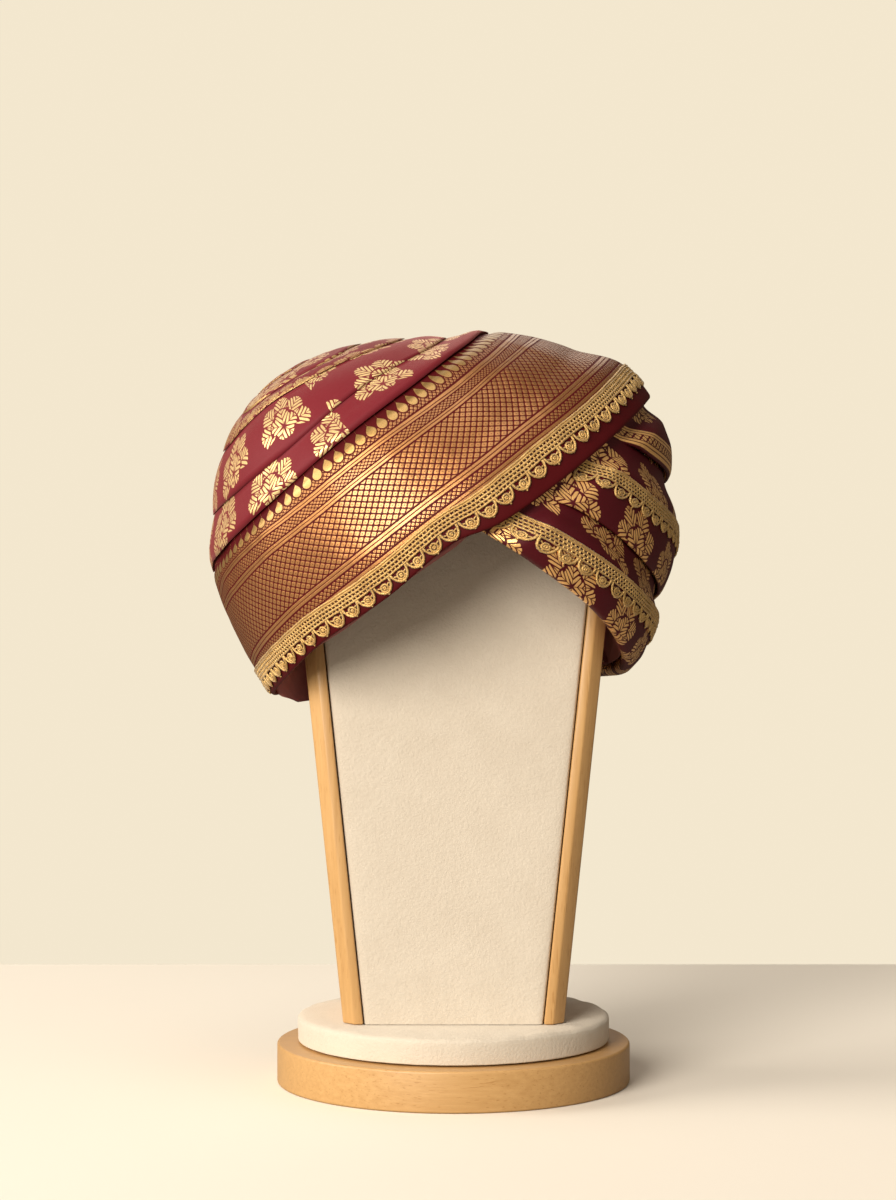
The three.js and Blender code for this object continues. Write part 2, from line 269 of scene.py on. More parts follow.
def stretched(tree, where, scale):
    node = tree.nodes.new("ShaderNodeMapping")
    node.inputs["Scale"].default_value = scale
    tree.links.new(where, node.inputs["Vector"])
    return node.outputs["Vector"]


def newGroup(name, inputs, outputs):
    group = bpy.data.node_groups.new(name, "ShaderNodeTree")
    for side, names in (("INPUT", inputs), ("OUTPUT", outputs)):
        for socketName in names:
            kind = "NodeSocketVector" if socketName == "Vector" else "NodeSocketFloat"
            group.interface.new_socket(socketName, in_out=side, socket_type=kind)
    return group, group.nodes.new("NodeGroupInput").outputs, group.nodes.new("NodeGroupOutput").inputs


def useGroup(tree, group, **values):
    node = tree.nodes.new("ShaderNodeGroup")
    node.node_tree = group
    for key, value in values.items():
        setInput(tree, node.inputs[key], value)
    return node.outputs


def newMaterial(name, **values):  # a Principled material; values are its plain sockets
    material = bpy.data.materials.new(name)
    material.use_nodes = True
    tree = material.node_tree
    shader = tree.nodes["Principled BSDF"]
    for key, value in values.items():
        setInput(tree, shader.inputs[key.replace("_", " ")], value)
    return material, tree, shader


def addRelief(tree, shader, height, distance, strength=1.0):  # a bump into the shader's normal
    bump = tree.nodes.new("ShaderNodeBump")
    bump.inputs["Distance"].default_value = distance
    bump.inputs["Strength"].default_value = strength
    tree.links.new(height, bump.inputs["Height"])
    tree.links.new(bump.outputs["Normal"], shader.inputs["Normal"])


def uvOf(tree):  # along and across in mm
    node = tree.nodes.new("ShaderNodeUVMap")
    node.uv_map = "flat"
    parts = tree.nodes.new("ShaderNodeSeparateXYZ")
    tree.links.new(node.outputs["UV"], parts.inputs[0])
    return node.outputs["UV"], parts.outputs["X"], parts.outputs["Y"]


def objectSpace(tree):
    return tree.nodes.new("ShaderNodeTexCoord").outputs["Object"]


# weave: fine threads along and across, for every silk
weave = {"warp": 11.0, "weft": 15.0, "slant": 0.5}
weaveGroup, given, result = newGroup("silk threads", ("Along", "Across"), ("Height",))
op = sums(weaveGroup)
slanted = op("ADD", given["Along"], op("MULTIPLY", given["Across"], weave["slant"]))
warp = op("SINE", op("MULTIPLY", slanted, weave["warp"]))
weft = op("SINE", op("MULTIPLY", given["Across"], weave["weft"]))
weaveGroup.links.new(op("MULTIPLY_ADD", op("MULTIPLY", warp, weft), 0.5, 0.5), result["Height"])

# lattice: rounded gold squares on their corners, each with a dark eye
lattice = {"along": 4.26, "across": 3.64, "corner": 5.0, "eye": 0.1, "eyeDark": 0.7, "dome": 2.4}
latticeGroup, given, result = newGroup("gold lattice", ("Along", "Across", "Fill"), ("Gold", "Height"))
op = sums(latticeGroup)
lean = op("DIVIDE", given["Across"], lattice["across"])
step = op("DIVIDE", given["Along"], lattice["along"])
one = op("SUBTRACT", op("FRACT", op("ADD", step, lean)), 0.5)
two = op("SUBTRACT", op("FRACT", op("SUBTRACT", step, lean)), 0.5)
powers = [op("POWER", op("ABSOLUTE", part), lattice["corner"]) for part in (one, two)]
reach = op("POWER", op("ADD", *powers), 1 / lattice["corner"])
square = below(op, reach, given["Fill"], 0.1)
eye = below(op, op("SQRT", op("ADD", op("MULTIPLY", one, one), op("MULTIPLY", two, two))), lattice["eye"], 0.09)
latticeGroup.links.new(op("MULTIPLY", square, op("MULTIPLY_ADD", eye, -lattice["eyeDark"], 1.0)), result["Gold"])
dip = op("MULTIPLY", op("MULTIPLY", reach, reach), lattice["dome"])
latticeGroup.links.new(op("MULTIPLY", square, op("SUBTRACT", 1.0, dip)), result["Height"])

# palmettes: a fan of feathered leaves over a smaller ring, in a brick repeat
palmette = {
    "pitchAlong": 43.0, "pitchAcross": 34.0, "reach": 19.5, "base": -6.0, "fan": 2.0,
    "outer": {"turn": 0.8, "long": 1.0, "half": 7.0}, "inner": {"turn": 1.257, "long": 0.5, "half": 5.4},
    "stroke": 3.0, "strokeGap": 0.34, "finger": 0.45, "slant": 1.35, "lean": 0.3, "packedUp": 6.0,
}
palmetteGroup, given, result = newGroup("woven palmettes", ("Along", "Across"), ("Gold", "Height"))
op = sums(palmetteGroup)
rowSpot = op("DIVIDE", given["Across"], palmette["pitchAcross"])
odd = op("FLOORED_MODULO", op("FLOOR", rowSpot), 2.0)
columnAt = op("MULTIPLY_ADD", odd, 0.5, op("DIVIDE", given["Along"], palmette["pitchAlong"]))
uneven = op("SINE", op("MULTIPLY", op("FLOOR", columnAt), 2.7))
spin = op("MULTIPLY", uneven, palmette["lean"])  # no two lean alike
x = op("MULTIPLY", op("SUBTRACT", op("FRACT", columnAt), 0.5), palmette["pitchAlong"])
y = op("MULTIPLY", op("SUBTRACT", op("FRACT", rowSpot), 0.5), palmette["pitchAcross"])
up = op("SUBTRACT", y, palmette["base"])
r = op("SQRT", op("ADD", op("MULTIPLY", x, x), op("MULTIPLY", up, up)))
theta = op("ADD", op("ARCTAN2", x, up), spin)


def leafRing(turn, long, half):  # gold, and the whole outline, of one ring of feathered leaves
    turnAt = op("DIVIDE", theta, turn)
    leafAt = op("ROUND", turnAt)
    aside = op("MULTIPLY", op("MULTIPLY", op("ABSOLUTE", op("SUBTRACT", turnAt, leafAt)), turn), r)
    spread = op("MULTIPLY", op("ABSOLUTE", leafAt), turn)
    shorter = op("SUBTRACT", 1.0, op("MULTIPLY", 0.1, op("POWER", spread, 1.4)))
    longest = op("MULTIPLY", shorter, palmette["reach"] * long)
    share = op("DIVIDE", r, longest, limit=True)
    belly = op("POWER", op("SINE", op("MULTIPLY", op("POWER", share, 1.5), math.pi)), 0.5)
    slanting = op("SUBTRACT", r, op("MULTIPLY", aside, palmette["slant"]))
    stroke = op("FRACT", op("DIVIDE", slanting, palmette["stroke"]))
    swell = op("SINE", op("MULTIPLY", stroke, math.pi))
    finger = op("MULTIPLY_ADD", swell, palmette["finger"], 1 - palmette["finger"])
    edge = op("MINIMUM", op("MULTIPLY", op("MULTIPLY", belly, finger), half), op("MULTIPLY", r, turn * 0.47))
    shape = op("MULTIPLY", below(op, aside, edge, 0.3), below(op, r, longest, 0.3))
    spine = op("MULTIPLY", below(op, aside, 0.22, 0.22), 0.8)
    cuts = op("MAXIMUM", below(op, stroke, palmette["strokeGap"], 0.1), spine)
    return op("MULTIPLY", shape, op("SUBTRACT", 1.0, cuts)), below(op, r, op("ADD", longest, 0.7), 0.5)


inFan = below(op, op("ABSOLUTE", theta), palmette["fan"], 0.02)
outerGold = op("MULTIPLY", leafRing(**palmette["outer"])[0], inFan)
innerGold, innerShape = leafRing(**palmette["inner"])
outerGold = op("MULTIPLY", outerGold, op("SUBTRACT", 1.0, innerShape))
gold = op("ADD", outerGold, op("MULTIPLY", innerGold, innerShape), limit=True)
palmetteGroup.links.new(gold, result["Gold"])
palmetteGroup.links.new(op("MULTIPLY", gold, op("SUBTRACT", 1.0, op("MULTIPLY", 0.012, r))), result["Height"])

# stripes: a pair of gold lines with dark lines beside them, at one distance across
stripeLines = {"away": 0.85, "half": 0.62, "clear": 2.35}
stripeGroup, given, result = newGroup("gold stripe", ("Across", "At"), ("Gold", "Clear"))
op = sums(stripeGroup)
away = op("ABSOLUTE", op("SUBTRACT", given["Across"], given["At"]))
stripeGroup.links.new(near(op, away, stripeLines["away"], stripeLines["half"], 0.22), result["Gold"])
stripeGroup.links.new(past(op, away, stripeLines["clear"], 0.25), result["Clear"])

# nap: short soft pile with slow mottling
napScale = {"slow": 60, "fine": 750}
napGroup, given, result = newGroup("suede nap", ("Vector",), ("Shade", "Height"))
op = sums(napGroup)
slow = noiseAt(napGroup, given["Vector"], napScale["slow"], 5.0, 0.65)
fine = noiseAt(napGroup, given["Vector"], napScale["fine"], 2.0, 0.6)
napGroup.links.new(op("MULTIPLY_ADD", fine, 0.35, op("MULTIPLY", slow, 0.65)), result["Shade"])
napGroup.links.new(op("MULTIPLY_ADD", slow, 0.6, op("MULTIPLY", fine, 0.4)), result["Height"])

# grain: long fibres, growth lines and dark flecks along the piece's own X
grainStretch = {"fibre": (14, 700, 700), "growth": (1.2, 85, 85), "fleck": (90, 1300, 1300)}
grainGroup, given, result = newGroup("wood grain", ("Vector",), ("Shade", "Height"))
op = sums(grainGroup)
fibre = noiseAt(grainGroup, stretched(grainGroup, given["Vector"], grainStretch["fibre"]), 1.0, 3.0, 0.6)
growth = noiseAt(grainGroup, stretched(grainGroup, given["Vector"], grainStretch["growth"]), 1.0, 1.0, 0.5)
lines = op("SINE", op("MULTIPLY", growth, 40.0))
speck = noiseAt(grainGroup, stretched(grainGroup, given["Vector"], grainStretch["fleck"]), 1.0, 1.0)
fleck = below(op, speck, 0.33, 0.06)
shade = op("MULTIPLY_ADD", lines, 0.06, op("MULTIPLY_ADD", fibre, 0.7, 0.18))
grainGroup.links.new(op("MULTIPLY_ADD", fleck, -0.4, shade), result["Shade"])
grainGroup.links.new(fibre, result["Height"])


# silks: the ground and the gold thread, each dark and light, and the sheen; the crown's and the wraps' are one silk,
# the crown's copy painted lighter as lit and the wraps' copy painted darker as in shade
# the crown's silk: painted light, a lighter copy of the wraps' silk where the lamp falls on it
crownSilkPaintedLit = {
    "ground": ((0.115, 0.006, 0.011), (0.195, 0.014, 0.024)),
    "thread": ((0.50, 0.30, 0.10), (0.86, 0.64, 0.30)),
    "sheen": 0.3,
}
topSilk = {
    "ground": ((0.11, 0.007, 0.013), (0.18, 0.020, 0.025)),
    "thread": ((0.32, 0.17, 0.06), (0.60, 0.39, 0.16)),
    "sheen": 0.2,
}
# the wraps' silk: painted shade, a darker copy of the crown's silk where the wraps lie in shade
wrapSilkPaintedShade = {
    "ground": ((0.050, 0.0022, 0.0050), (0.095, 0.005, 0.010)),
    "thread": ((0.45, 0.20, 0.06), (0.88, 0.51, 0.19)),
    "sheen": 0.0,
}
silkGloss = 0.18  # specular level of the silks
silkShine = 0.5  # how far their gold thread is metal


# gold woven into a silk ground; pale marks where the thread is as light as the crown's
def goldThread(tree, shader, gold, height, ground, thread, shine, gloss=0.0, pale=None):
    op = sums(tree)
    uv, along, across = uvOf(tree)
    patch = noiseAt(tree, uv, 0.09, 3.0, 0.6)
    strand = noiseAt(tree, stretched(tree, uv, (0.9, 7.0, 1.0)), 1.0, 2.0, 0.6)
    worn = op("MULTIPLY_ADD", patch, 0.5, op("MULTIPLY_ADD", strand, 0.9, 0.30), limit=True)
    threadColour = blendColour(tree, worn, thread[0], thread[1])
    if pale:
        threadColour = blendColour(tree, pale, threadColour, crownSilkPaintedLit["thread"][0])
    groundColour = blendColour(tree, strand, ground[0], ground[1])
    tree.links.new(blendColour(tree, gold, groundColour, threadColour), shader.inputs["Base Color"])
    tree.links.new(op("MULTIPLY", gold, shine), shader.inputs["Metallic"])
    if gloss:
        tree.links.new(op("MULTIPLY", gold, gloss), shader.inputs["Coat Weight"])
    rough = op("MULTIPLY_ADD", gold, -0.24, op("MULTIPLY_ADD", strand, 0.14, 0.46))
    tree.links.new(rough, shader.inputs["Roughness"])
    threads = useGroup(tree, weaveGroup, Along=along, Across=across)["Height"]
    fine = op("MULTIPLY_ADD", strand, 0.10, op("MULTIPLY", threads, 0.20))
    addRelief(tree, shader, op("MULTIPLY_ADD", height, 0.8, fine), 0.00022, 0.7)


# packed lays a second row of palmettes between the first
def brocadeMaterial(name, silk, scale=1.0, shift=0.0, packed=False):
    material, tree, shader = newMaterial(
        name, Specular_IOR_Level=silkGloss,
        Sheen_Weight=silk["sheen"], Sheen_Roughness=0.4, Sheen_Tint=(1.0, 0.42, 0.36),
    )
    op = sums(tree)
    along, across = uvOf(tree)[1:]
    along, across = op("MULTIPLY", along, scale), op("MULTIPLY_ADD", across, scale, shift)
    gold = useGroup(tree, palmetteGroup, Along=along, Across=across)["Gold"]
    if packed:
        along = op("ADD", along, palmette["pitchAlong"] / 2)
        across = op("ADD", across, palmette["packedUp"])
        gold = op("MAXIMUM", gold, useGroup(tree, palmetteGroup, Along=along, Across=across)["Gold"])
    goldThread(tree, shader, gold, gold, silk["ground"], silk["thread"], silkShine)
    return material


# the crown's brocade takes the painted-lit copy of the silk, the wraps' brocade the painted-shade copy
crownBrocade = brocadeMaterial("brocade painted as lit", crownSilkPaintedLit)
gatheredBrocade = brocadeMaterial("gathered brocade", topSilk, 1.25, packed=True)
wrapBrocade = brocadeMaterial("brocade painted as shaded", wrapSilkPaintedShade, 1.12, 9.0)

# the top wrap has a striped border along its lower edge, then palmettes
topBorder = {
    "stripes": (2.2, 9.5), "checksAt": 5.85, "checksHalf": 1.7, "checkFill": 0.36,
    "flowersFrom": 11.5, "flowerShift": 20.0,
}
topBrocade, tree, shader = newMaterial("bordered brocade", Specular_IOR_Level=silkGloss)
op = sums(tree)
along, across = uvOf(tree)[1:]
flower = useGroup(tree, palmetteGroup, Along=along, Across=op("ADD", across, topBorder["flowerShift"]))
checks = useGroup(tree, latticeGroup, Along=along, Across=across, Fill=topBorder["checkFill"])
lowStripe, highStripe = (useGroup(tree, stripeGroup, Across=across, At=at) for at in topBorder["stripes"])
inFlowers = past(op, across, topBorder["flowersFrom"], 0.4)
inChecks = near(op, across, topBorder["checksAt"], topBorder["checksHalf"], 0.3)
fill = op("ADD", op("MULTIPLY", flower["Gold"], inFlowers), op("MULTIPLY", checks["Gold"], inChecks))
gold = op("MAXIMUM", fill, op("MAXIMUM", lowStripe["Gold"], highStripe["Gold"]))
goldThread(tree, shader, gold, gold, wrapSilkPaintedShade["ground"], wrapSilkPaintedShade["thread"], silkShine)

# the front band: hem, lace ground, lattice between stripes, a row of drops and a plain edge
bandCloth = {
    "stripes": (18.7, 27.0, 57.0, 67.0),
    "dropPitch": 7.2, "dropMiddle": 74.5, "dropRound": 2.75, "dropPoint": 4.6, "dropLine": 0.75,
    "netFill": 0.385, "fine": 1.5, "fineFill": 0.37, "netTop": 73.9, "soft": 0.3,
    "ground": ((0.055, 0.0026, 0.004), (0.095, 0.005, 0.007)),
    "thread": ((0.20, 0.062, 0.020), (0.48, 0.22, 0.076)), "shine": 0.75, "gloss": 0.45,
}
zari, tree, shader = newMaterial("gold-woven band", Specular_IOR_Level=0.1, Coat_Roughness=0.3)
op = sums(tree)
along, across = uvOf(tree)[1:]
dropAt = op("FRACT", op("DIVIDE", along, bandCloth["dropPitch"]))
dx = op("MULTIPLY", op("SUBTRACT", dropAt, 0.5), bandCloth["dropPitch"])
dy = op("SUBTRACT", across, bandCloth["dropMiddle"])
rise = op("DIVIDE", op("MAXIMUM", dy, 0.0), bandCloth["dropPoint"])
taper = op("SUBTRACT", 1.0, op("MINIMUM", op("POWER", rise, 1.5), 0.98))
dropSides, dropFoot = op("POWER", op("DIVIDE", dx, taper), 2.0), op("POWER", op("MINIMUM", dy, 0.0), 2.0)
dropReach = op("SQRT", op("ADD", dropSides, dropFoot))
drops = below(op, dropReach, bandCloth["dropRound"], 0.4)
net = useGroup(tree, latticeGroup, Along=along, Across=across, Fill=bandCloth["netFill"])
fineAlong, fineAcross = (op("MULTIPLY", part, bandCloth["fine"]) for part in (along, across))
fine = useGroup(tree, latticeGroup, Along=fineAlong, Across=fineAcross, Fill=bandCloth["fineFill"])
soft = bandCloth["soft"]
firstStripe, netFrom, netTo = bandCloth["stripes"][:3]
inner = op("MULTIPLY", below(op, across, netTo, soft), past(op, across, netFrom, soft))
outside = op("SUBTRACT", 1.0, inner)
netGold, netHeight = (
    op("ADD", op("MULTIPLY", net[key], inner), op("MULTIPLY", fine[key], outside)) for key in ("Gold", "Height")
)
inNet = op("MULTIPLY", past(op, across, firstStripe, soft), below(op, across, bandCloth["netTop"], soft))
inNet = op("MULTIPLY", inNet, past(op, dropReach, bandCloth["dropRound"] + bandCloth["dropLine"], soft))
lines = 0.0
for at in bandCloth["stripes"]:
    stripe = useGroup(tree, stripeGroup, Across=across, At=at)
    inNet = op("MULTIPLY", inNet, stripe["Clear"])
    lines = op("MAXIMUM", lines, stripe["Gold"])
gold = op("MAXIMUM", op("MULTIPLY", netGold, inNet), op("MAXIMUM", lines, drops))
height = op("MAXIMUM", op("MULTIPLY", netHeight, inNet), op("MAXIMUM", lines, drops))
goldThread(tree, shader, gold, height, bandCloth["ground"], bandCloth["thread"],
           bandCloth["shine"], bandCloth["gloss"], drops)

# crocheted gold thread, with painted glints in fine specks
laceGold = {"dark": (0.38, 0.20, 0.045), "light": (0.94, 0.64, 0.25), "slow": 160, "fine": 2600}
laceThread, tree, shader = newMaterial("gold lace thread", Metallic=0.55, Sheen_Weight=0.25, Sheen_Roughness=0.4)
op = sums(tree)
place = objectSpace(tree)
slow = noiseAt(tree, place, laceGold["slow"], 3.0, 0.6)
fine = noiseAt(tree, place, laceGold["fine"], 2.0, 0.6)
# painted glints: the thread's tone runs from dark to light at random in fine specks, the light specks standing in for
# highlights
paintedGlint = op("MULTIPLY_ADD", op("SUBTRACT", fine, 0.5), 2.2, slow, limit=True)
tree.links.new(blendColour(tree, paintedGlint, laceGold["dark"], laceGold["light"]), shader.inputs["Base Color"])
tree.links.new(op("MULTIPLY_ADD", fine, 0.35, 0.25), shader.inputs["Roughness"])
addRelief(tree, shader, fine, 0.0004, 0.8)

# cream suede cloth
suedeShades = {"first": (0.53, 0.455, 0.365), "second": (0.67, 0.60, 0.505)}
suede, tree, shader = newMaterial(
    "cream suede", Sheen_Weight=0.3, Sheen_Roughness=0.6, Sheen_Tint=(1.0, 0.95, 0.85),
)
op = sums(tree)
nap = useGroup(tree, napGroup, Vector=objectSpace(tree))
tree.links.new(blendColour(tree, nap["Shade"], **suedeShades), shader.inputs["Base Color"])
tree.links.new(op("MULTIPLY_ADD", nap["Shade"], 0.15, 0.8), shader.inputs["Roughness"])
addRelief(tree, shader, nap["Height"], 0.0010, 0.8)


woodShades = {"first": (0.43, 0.222, 0.069), "second": (0.64, 0.385, 0.154)}


def woodMaterial(name, turn):  # satin pale wood; turn lays the grain along the piece
    material, tree, shader = newMaterial(name, Coat_Weight=0.25, Coat_Roughness=0.35)
    op = sums(tree)
    mapping = tree.nodes.new("ShaderNodeMapping")
    mapping.inputs["Rotation"].default_value = turn
    tree.links.new(objectSpace(tree), mapping.inputs["Vector"])
    grain = useGroup(tree, grainGroup, Vector=mapping.outputs["Vector"])
    tree.links.new(blendColour(tree, grain["Shade"], **woodShades), shader.inputs["Base Color"])
    tree.links.new(op("MULTIPLY_ADD", grain["Shade"], 0.2, 0.38), shader.inputs["Roughness"])
    addRelief(tree, shader, grain["Height"], 0.0002, 0.5)
    return material


baseWood = woodMaterial("pale wood, base", (0, 0, 0))
railWood = woodMaterial("pale wood, rails", (0, math.radians(90), 0))
print("materials made")


# the broad front band
band = {
    "rows": (  # longitude: low edge, high edge, lift of the hem, lace tips over the hem
        (-140, -18, -14.5, 0.7, 1.0), (-125, -13, 3, 0.7, 1.0), (-112, -8, 19, 0.7, 1.0),
        (-80, -4.3, 30.4, 0.7, 1.0), (-60, -2.4, 31.4, 0.7, 1.0), (-40, -0.8, 31.9, 0.8, 0.6),
        (-18, -1.7, 32.6, 2.4, 0.4), (0, -1.5, 33.6, 4.2, 0.3), (10, -4.4, 34.1, 4.6, 1.9),
        (25, -5.7, 35.3, 4.8, 3.0), (45, -6.0, 37.1, 5.2, 3.1), (80, -5.9, 39.5, 7.6, 3.4),
        (120, -8, 33, 6.0, 3.0), (150, -15, 21, 4.6, 3.0), (165, -23, 11, 4.2, 3.0),
        (180, -28.5, -2, 4.2, 3.0), (192, -30.4, -15, 4.2, 3.0), (202, -30.6, -25.5, 2.4, 2.0),
    ),
    "lines": (  # longitude: the stripes under, over and far over the lattice, then the middle of the drops
        (-140, -9, 6, 9, 13), (-125, -4, 11, 14, 18), (-112, 0.7, 16, 19, 23), (-80, 4.4, 19.8, 22.5, 26.4),
        (-60, 7.3, 21.4, 25.9, 28.2), (-40, 9.0, 22.5, 26.6, 28.9), (-20, 9.15, 22.4, 26.1, 29.4),
        (0, 8.9, 22.6, 26.4, 29.9), (15, 8.2, 22.6, 26.3, 30.7), (27, 8.0, 22.7, 26.4, 31.75),
        (40, 7.6, 23.5, 27.1, 32.8), (60, 7.8, 24.4, 28.8, 34.2), (80, 7.9, 24.7, 30, 35.2),
        (120, 5.8, 22, 27.5, 32.6), (150, -1.2, 15, 20.5, 25.6), (165, -9.2, 7, 12.5, 17.6),
        (180, -14.7, 1.5, 7, 12.1), (192, -16.6, -0.4, 5.1, 10.2), (202, -16.8, -0.6, 4.9, 10),
    ),
    "thickness": 2.4, "topLift": 0.7, "columns": 400, "rowsAcross": 48,
    "hemRound": 0.018,  # share of the width in each rounded edge
    "uneven": 0.45, "unevenFine": 0.2,
    "tuckedEdge": 0.9,  # thickness left where the crown lies over the top edge
}
bandFrom, bandTo = band["rows"][0][0], band["rows"][-1][0]


def bandLift(longitude, share):
    return mix(rowAt(band["rows"], longitude)[2], band["topLift"], smooth(share, 0.2, 0.48))


def bandPoint(longitude, share, thick, extra=0.0):
    low, high = rowAt(band["rows"], longitude)[:2]
    settle = band["uneven"] * ripple(longitude / 9, share * 2.2, 1.7)
    settle += band["unevenFine"] * ripple(longitude / 3, share * 7, 4.1)
    thickness = mix(band["thickness"], band["tuckedEdge"], smooth(share, 0.9, 0.97))
    offset = bandLift(longitude, share) + thickness * thick + settle * min(thick, 1.0)
    return domePoint(onGlobe(bandGlobe, longitude, mix(low, high, share)), offset + extra)


def bandFlat(longitude, share):  # mm along and across the cloth, which spreads towards the right
    low, high = rowAt(band["rows"], longitude)[:2]
    latitude = mix(low, high, share)
    marks = list(zip(rowAt(band["lines"], longitude), bandCloth["stripes"][1:] + (bandCloth["dropMiddle"],)))
    across = marks[0][1] + (latitude - marks[0][0]) * dome["degree"]
    for (a, flatA), (b, flatB) in zip(marks, marks[1:]):
        if latitude > a:
            across = mix(flatA, flatB, (latitude - a) / (b - a))
    return longitude * dome["degree"], across


bm = foldedStrip(
    band["columns"],
    foldedSection(0, 1, band["hemRound"], band["rowsAcross"]),
    lambda u, v, w: bandPoint(mix(bandFrom, bandTo, u), v, w),
    lambda u, v: bandFlat(mix(bandFrom, bandTo, u), v),
)
frontBand = finishPiece("front_band_cloth", bm, zari, "front_band")


# the side wraps, each folded over the one below it
foldRows = (  # azimuth: rim, crease, zari, top
    (-12, 12, 19, 40, 54), (9, -0.4, 11.6, 33.5, 50), (30, -13.3, 4.8, 26.6, 46), (60, -30, -9.2, 17.3, 36),
    (90, -38.5, -17.5, 13, 40.5), (130, -39, -20.5, 8, 30.5), (172, -38, -22, 0, 22),
)
wraps = {
    "wrap_lower": {
        "cloth": wrapBrocade, "lines": (0, 1), "start": (-3, 9), "end": (178, 172),
        "swell": 7.0, "lap": 0.08, "under": 0.4,
    },
    "wrap_upper": {
        "cloth": wrapBrocade, "lines": (1, 2), "start": (9, 31), "end": (165, 160),
        "swell": 6.0, "lap": 0.08, "under": 3.4,
    },
    "wrap_top": {
        "cloth": topBrocade, "lines": (2, 3), "start": (31, 66), "end": (160, 145),
        "swell": 7.0, "lap": 0.0, "under": 3.4,
    },
}
wrapCloth = {
    "thickness": 2.2, "thinnest": 0.3, "edge": 0.06, "tuck": 2.7, "laceRoom": 3.1,
    "crease": 0.35, "creaseFine": 0.22, "columns": 220, "rowsAcross": 30,
}


def wrapRow(wrap, u, v):  # azimuth, and the elevations of the wrap's lower and upper edge there
    azimuth = mix(mix(*wrap["start"], v), mix(*wrap["end"], v), u)
    lines = rowAt(foldRows, azimuth)
    return azimuth, lines[wrap["lines"][0]], lines[wrap["lines"][1]]


def wrapPlace(name, u, v):  # direction, inner offset and outer offset of a wrap at shares along and across
    wrap = wraps[name]
    azimuth, lowEdge, highEdge = wrapRow(wrap, u, v)
    d = direction(azimuth, mix(lowEdge, highEdge, v))
    longitude, latitude = globeBearing(bandGlobe, d)
    low, high = rowAt(band["rows"], longitude)[:2]
    under = bandLift(longitude, clamp((latitude - low) / (high - low))) - wrapCloth["laceRoom"]
    free = smooth(low - latitude, 1, 7)
    roll = (1 - 0.55 * max(0.0, 2 * v - 1) ** 2.2) * (0.62 + 0.38 * math.sin(clamp(v / 0.3) * math.pi / 2))
    tuck = smooth(v, 0.62, 0.98)
    crease = wrapCloth["crease"] * ripple(azimuth / 26, v * 3.5, 2.0 + wrap["swell"])
    crease += wrapCloth["creaseFine"] * ripple(azimuth / 7, v * 6, 9.0)
    outer = mix(wrapCloth["thickness"] + wrap["swell"] * roll + crease, wrapCloth["tuck"], tuck)
    inner = mix(wrap["under"], dome["gap"], smooth(v, 0.06, 0.22))
    outer = mix(under, outer, free)
    return d, min(mix(dome["gap"], inner, free), outer - wrapCloth["thinnest"]), outer


def wrapPoint(name, u, v, thick, extra=0.0):
    d, inner, outer = wrapPlace(name, u, v)
    return domePoint(d, mix(inner, outer, thick) + extra)


def wrapFlat(name, u, v):
    azimuth, low, high = wrapRow(wraps[name], u, v)
    return azimuth * dome["degree"] * 0.95, v * (high - low) * dome["degree"]


for name, wrap in wraps.items():
    bm = foldedStrip(
        wrapCloth["columns"],
        foldedSection(0, 1 + wrap["lap"], wrapCloth["edge"], wrapCloth["rowsAcross"], rounded=False),
        lambda u, v, w: wrapPoint(name, u, v, w),
        lambda u, v: wrapFlat(name, u, v),
    )
    finishPiece(name + "_cloth", bm, wrap["cloth"], name)


# the crown: pleats wound about a tilted pole, each one's fold lying over the next
crown = {
    "pleats": (82, 73, 62, 47.5, 38, 26, 13, 0, -12, -24),  # latitude of each folded edge
    "foot": -88,  # where the last pleat would end
    "overBand": 4, "raised": 3.3, "overlap": 0.5, "overRange": (33.5, 39.6),  # the pleat over the band's top edge
    "height": 2.2, "sunk": 1.0, "tuck": 1.8, "fold": 0.9, "wobble": 2.6, "puff": 0.6,
    "relief": (0.4, 0.35, 0.5, 0.7),  # the top pleats lie flatter
    "offCentre": ((3.4, 40), (3.6, 215), (3.2, 320)),  # how far, and which way, the top rings lie off the pole
    "turns": (20, -15, 4, -2, 1, -12, 15, -10, 10, -15, 12),  # how the pattern lies on each pleat
    "shifts": (
        (5, 17), (21, 17), (9, 17), (1.5, 15), (23.5, 17), (30, 18), (12, 17), (34, 17), (3, 18), (25, 17), (8, 17),
    ),
    "gathered": 3,  # pleats at the top in the close-set brocade
    "gather": (0.45, 0.5, 1.1, 1.13),  # how far the top pleats' pattern is drawn together or out
    "columns": 220, "degreesPerRow": 1.5, "innerRows": 20, "rimRows": 8,
    "rimRoll": (  # azimuth: how far the rolled edge hangs under the rim
        (-120, 14), (-100, 13), (-80, 9), (-62, 3), (-40, 1.5), (60, 1.5), (90, 2), (130, 3), (170, 3),
        (205, 5), (225, 10), (240, 14),
    ),
}


# where the way down a meridian of the crown's globe leaves what isAbove accepts
def edgeLatitude(longitude, isAbove):
    inside, outside = 80.0, crown["foot"]
    for _ in range(24):
        middle = (inside + outside) / 2
        if isAbove(onGlobe(crownGlobe, longitude, middle)):
            inside = middle
        else:
            outside = middle
    return inside


def aboveRim(d):
    azimuth, elevation = bearing(d)
    return elevation > rowAt(rimRows, azimuth)[0]


def aboveBand(d):
    longitude, latitude = globeBearing(bandGlobe, d)
    return latitude > rowAt(band["rows"], longitude)[1]


def crownRows():  # from the pole down: pleat, share down its face, and share of the fold under its edge
    rows = [(0, 0.0, 0.0)]
    above = 90
    for pleat, edge in enumerate(crown["pleats"]):
        count = max(4, round((above - edge) / crown["degreesPerRow"]))
        rows += [(pleat, i / count, 0.0) for i in range(1, count + 1)]
        rows += [(pleat, 1.0, fold) for fold in (0.2, 0.4, 0.7, 1.0)] + [(pleat + 1, 0.0, -1.0)]
        above = edge
    rows += [(len(crown["pleats"]), i / 16, 0.0) for i in range(1, 17)]
    return rows


